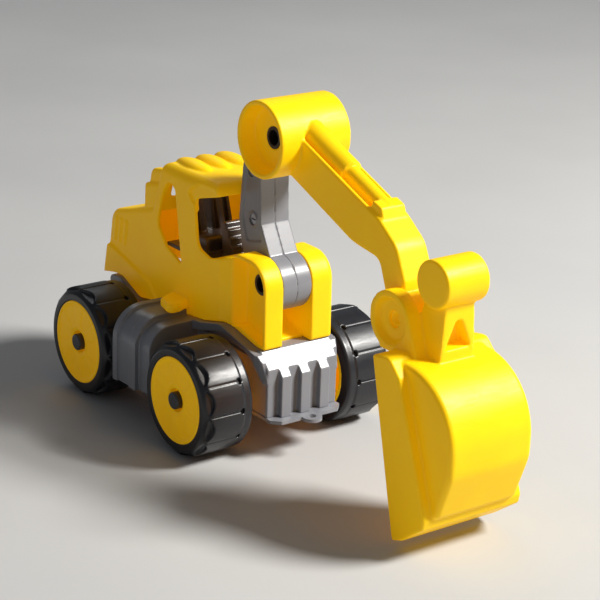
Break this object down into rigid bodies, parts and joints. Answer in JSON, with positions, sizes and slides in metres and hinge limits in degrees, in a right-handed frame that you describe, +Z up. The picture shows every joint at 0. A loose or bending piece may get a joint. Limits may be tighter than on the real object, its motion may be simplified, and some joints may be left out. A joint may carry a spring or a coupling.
{
  "type": "toy wheeled digger",
  "caption": "Moulded toy wheeled excavator with a cab under a cantilever roof, ribbed front block, cranked boom, bent arm and deep bucket with a grip, all hinged.",
  "frame": {"origin": "on the ground, under the middle of the whole toy's box", "axes": "+X forward to the bucket, +Y to the driver's left, +Z up"},
  "size_m": [0.2661, 0.1048, 0.162],
  "materials": {
    "yellow_plastic": "satin moulded",
    "grey_plastic": "satin moulded",
    "tyre_plastic": "satin moulded",
    "black_plastic": "satin moulded",
    "cap_plastic": "satin moulded",
    "axle_steel": "drawn wire",
    "screw_steel": "zinc plated"
  },
  "bodies": {
    "chassis": {"chassis_shell": "grey_plastic", "chassis_base": "grey_plastic", "base_screws": "screw_steel", "body_screws": "screw_steel", "body_shell": "yellow_plastic", "cab_insert": "grey_plastic", "front_axle": "axle_steel", "rear_axle": "axle_steel", "boom_pin": "black_plastic", "axle_cap_front_right": "cap_plastic", "axle_cap_front_left": "cap_plastic", "axle_cap_rear_right": "cap_plastic", "axle_cap_rear_left": "cap_plastic"},
    "wheel_front_right": {"tyre_front_right": "tyre_plastic", "hub_front_right": "yellow_plastic"},
    "wheel_front_left": {"tyre_front_left": "tyre_plastic", "hub_front_left": "yellow_plastic"},
    "wheel_rear_right": {"tyre_rear_right": "tyre_plastic", "hub_rear_right": "yellow_plastic"},
    "wheel_rear_left": {"tyre_rear_left": "tyre_plastic", "hub_rear_left": "yellow_plastic"},
    "boom": {"boom_shell_right": "grey_plastic", "boom_shell_left": "grey_plastic", "boom_screws": "screw_steel"},
    "stick": {"stick": "yellow_plastic", "stick_pin": "black_plastic"},
    "bucket": {"bucket": "yellow_plastic", "bucket_pin": "yellow_plastic"}
  },
  "joints": [
    {"name": "wheel_front_right_spin", "type": "hinge", "parent": "chassis", "child": "wheel_front_right", "pos_m": [-0.0208, -0.0389, 0.0264], "axis": [0, 1, 0], "continuous": true},
    {"name": "wheel_front_left_spin", "type": "hinge", "parent": "chassis", "child": "wheel_front_left", "pos_m": [-0.0208, 0.0389, 0.0264], "axis": [0, 1, 0], "continuous": true},
    {"name": "wheel_rear_right_spin", "type": "hinge", "parent": "chassis", "child": "wheel_rear_right", "pos_m": [-0.1065, -0.0389, 0.0264], "axis": [0, 1, 0], "continuous": true},
    {"name": "wheel_rear_left_spin", "type": "hinge", "parent": "chassis", "child": "wheel_rear_left", "pos_m": [-0.1065, 0.0389, 0.0264], "axis": [0, 1, 0], "continuous": true},
    {"name": "boom_pivot", "type": "hinge", "parent": "chassis", "child": "boom", "pos_m": [-0.0135, 0, 0.0758], "axis": [0, 1, 0], "range_deg": [0, 45]},
    {"name": "stick_pivot", "type": "hinge", "parent": "boom", "child": "stick", "pos_m": [-0.0072, 0, 0.1448], "axis": [0, 1, 0], "range_deg": [-40, 15]},
    {"name": "bucket_pivot", "type": "hinge", "parent": "stick", "child": "bucket", "pos_m": [0.0823, 0, 0.0899], "axis": [0, 1, 0], "range_deg": [-30, 40]}
  ]
}
